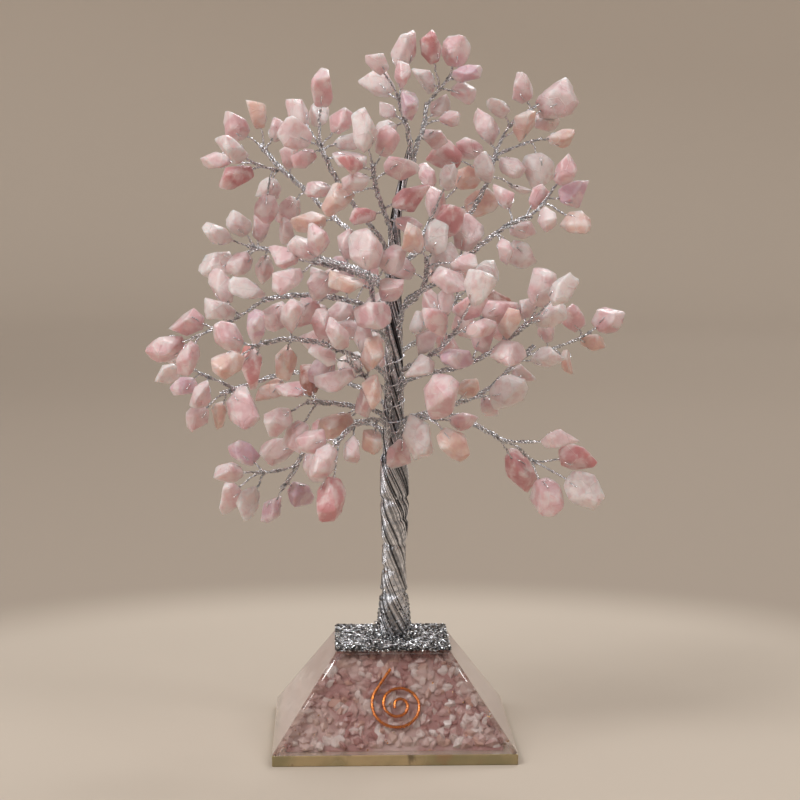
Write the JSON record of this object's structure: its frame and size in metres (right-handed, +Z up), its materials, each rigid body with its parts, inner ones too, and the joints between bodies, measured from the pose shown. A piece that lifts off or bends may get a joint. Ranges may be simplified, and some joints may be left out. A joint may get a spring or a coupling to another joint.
{
  "type": "gemstone tree ornament",
  "caption": "Table ornament: a twisted silver wire tree with rose-quartz chips for leaves, standing in a clear resin pyramid block with cast-in quartz and a copper spiral.",
  "frame": {"origin": "Middle of the foot slab underside, on the surface that the ornament stands on.", "axes": "+Z is up along the trunk, the front with the copper spiral faces -Y, and +X is to the right seen from the front."},
  "size_m": [0.1545, 0.1085, 0.2225],
  "materials": {
    "foot_resin": "gloss",
    "clear_resin": "gloss",
    "fill_quartz": "polished",
    "copper": "polished",
    "glitter": "polished",
    "silver_wire": "polished",
    "rose_quartz": "polished"
  },
  "bodies": {
    "root": {"chips_back_left": "rose_quartz", "chips_back_right": "rose_quartz", "chips_back_top": "rose_quartz", "chips_crown_left": "rose_quartz", "chips_crown_right": "rose_quartz", "chips_front_left": "rose_quartz", "chips_front_low_left": "rose_quartz", "chips_front_low_right": "rose_quartz", "chips_front_mid_left": "rose_quartz", "chips_front_right": "rose_quartz", "chips_front_top": "rose_quartz", "chips_left_drooping": "rose_quartz", "chips_left_far": "rose_quartz", "chips_left_high": "rose_quartz", "chips_left_low": "rose_quartz", "chips_left_low_mid": "rose_quartz", "chips_left_mid": "rose_quartz", "chips_left_outer": "rose_quartz", "chips_right_drooping": "rose_quartz", "chips_right_high": "rose_quartz", "chips_right_inner": "rose_quartz", "chips_right_low": "rose_quartz", "chips_right_mid": "rose_quartz", "chips_upper_left_inner": "rose_quartz", "chips_upper_left_outer": "rose_quartz", "chips_upper_right": "rose_quartz", "copper_spiral": "copper", "foot_slab": "foot_resin", "glitter_bed": "glitter", "limb_back_left": "silver_wire", "limb_back_right": "silver_wire", "limb_back_top": "silver_wire", "limb_crown_left": "silver_wire", "limb_crown_right": "silver_wire", "limb_front_left": "silver_wire", "limb_front_low_left": "silver_wire", "limb_front_low_right": "silver_wire", "limb_front_mid_left": "silver_wire", "limb_front_right": "silver_wire", "limb_front_top": "silver_wire", "limb_left_drooping": "silver_wire", "limb_left_far": "silver_wire", "limb_left_high": "silver_wire", "limb_left_low": "silver_wire", "limb_left_low_mid": "silver_wire", "limb_left_mid": "silver_wire", "limb_left_outer": "silver_wire", "limb_right_drooping": "silver_wire", "limb_right_high": "silver_wire", "limb_right_inner": "silver_wire", "limb_right_low": "silver_wire", "limb_right_mid": "silver_wire", "limb_upper_left_inner": "silver_wire", "limb_upper_left_outer": "silver_wire", "limb_upper_right": "silver_wire", "quartz_fill": "fill_quartz", "resin_pyramid": "clear_resin", "trunk_core": "silver_wire", "trunk_sheath": "silver_wire"}
  },
  "joints": []
}
